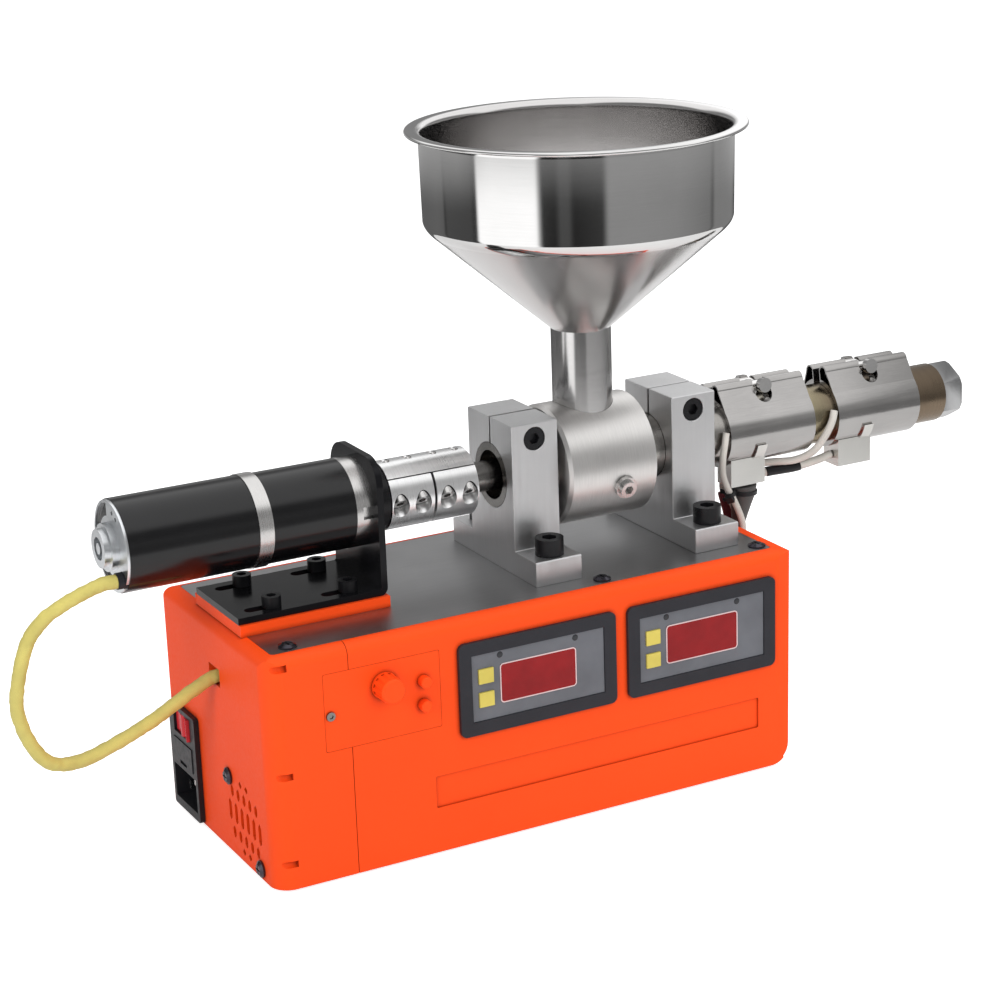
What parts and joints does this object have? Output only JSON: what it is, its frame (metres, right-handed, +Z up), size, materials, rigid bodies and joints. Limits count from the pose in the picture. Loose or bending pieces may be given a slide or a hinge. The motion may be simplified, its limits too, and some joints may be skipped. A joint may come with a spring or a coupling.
{
  "type": "filament extruder",
  "caption": "Bench-top filament extruder: gear motor, clamp coupling, heated screw barrel in split blocks and steel hopper on a printed control box with panel meters.",
  "frame": {"origin": "on the ground under the middle of the machine's length, in the screw's upright plane", "axes": "+X along the screw towards the nozzle, +Y away from the front controls, +Z up"},
  "size_m": [0.4918, 0.1534, 0.3051],
  "materials": {
    "printed_orange": "layered FDM print",
    "feet_rubber": "matt",
    "deck_grey": "satin grey",
    "black_oxide": "black oxide",
    "black_plastic": "fine grain",
    "bezel_plastic": "fine grain",
    "grey_panel": "printed film",
    "red_display": "tinted window",
    "key_rubber": "soft keys",
    "red_plastic": "moulded",
    "brass": "plain",
    "tin": "tinned",
    "black_paint": "satin black",
    "bright_steel": "turned",
    "coupling_steel": "turned, satin",
    "screw_steel": "oiled, dark",
    "block_aluminium": "cast and milled",
    "barrel_steel": "heat-tinted",
    "hopper_steel": "polished",
    "band_steel": "rolled sheet",
    "box_steel": "pressed sheet",
    "cap_steel": "turned, warm",
    "cable_yellow": "braided sleeve",
    "lead_glass_fibre": "glass-fibre braid",
    "lead_red": "braided sleeve"
  },
  "bodies": {
    "machine": {"housing_left": "printed_orange", "housing_right": "printed_orange", "rubber_feet": "feet_rubber", "deck_plate": "deck_grey", "case_screws": "black_oxide", "control_panel": "printed_orange", "panel_screw": "brass", "meter_bezels": "bezel_plastic", "meter_faces": "grey_panel", "meter_displays": "red_display", "meter_keys": "key_rubber", "inlet_body": "black_plastic", "inlet_pins": "tin", "motor_riser": "printed_orange", "motor_bracket": "black_paint", "bracket_bolts": "black_oxide", "motor_can": "black_paint", "motor_end_cap": "bright_steel", "cable_gland": "black_plastic", "gearbox_rings": "bright_steel", "gearbox_case": "black_paint", "gearbox_boss": "black_oxide", "clamp_block_left": "block_aluminium", "clamp_block_right": "block_aluminium", "block_bolts": "black_oxide", "barrel": "barrel_steel", "feed_housing": "bright_steel", "feed_set_screw": "bright_steel", "hopper_neck": "hopper_steel", "hopper_bowl": "hopper_steel", "heater_band_inner": "band_steel", "heater_band_outer": "band_steel", "band_clamp_bolts": "bright_steel", "terminal_boxes": "box_steel", "nozzle_cap": "cap_steel", "motor_cable": "cable_yellow", "inner_heater_lead": "lead_glass_fibre", "outer_heater_lead": "lead_glass_fibre", "inner_sensor_lead": "lead_glass_fibre", "outer_sensor_lead": "lead_red"},
    "screw_line": {"output_shaft": "bright_steel", "coupling_upper": "coupling_steel", "coupling_lower": "coupling_steel", "coupling_bolts": "black_oxide", "screw_shank": "screw_steel", "screw_flight": "screw_steel"},
    "knob": {"speed_knob": "printed_orange"},
    "upper_push": {"upper_button": "printed_orange"},
    "lower_push": {"lower_button": "printed_orange"},
    "drawer": {"fuse_drawer": "black_plastic"},
    "rocker": {"rocker_switch": "red_plastic"}
  },
  "joints": [
    {"name": "screw_spin", "type": "hinge", "parent": "machine", "child": "screw_line", "pos_m": [0, 0, 0.1503], "axis": [1, 0, 0], "continuous": true},
    {"name": "knob_turn", "type": "hinge", "parent": "machine", "child": "knob", "pos_m": [-0.1201, -0.0581, 0.0857], "axis": [0, -1, 0], "range_deg": [-150, 150]},
    {"name": "upper_button_press", "type": "slide", "parent": "machine", "child": "upper_push", "axis": [0, 1, 0], "range_m": [0, 0.0015], "stiffness_N_per_m": 500, "springref_m": -0.0008},
    {"name": "lower_button_press", "type": "slide", "parent": "machine", "child": "lower_push", "axis": [0, 1, 0], "range_m": [0, 0.0015], "stiffness_N_per_m": 500, "springref_m": -0.0008},
    {"name": "fuse_drawer_pull", "type": "slide", "parent": "machine", "child": "drawer", "axis": [-1, 0, 0], "range_m": [0, 0.012]},
    {"name": "rocker_tip", "type": "hinge", "parent": "machine", "child": "rocker", "pos_m": [-0.1743, 0.04, 0.0457], "axis": [0, 0, 1], "range_deg": [0, 16]}
  ]
}
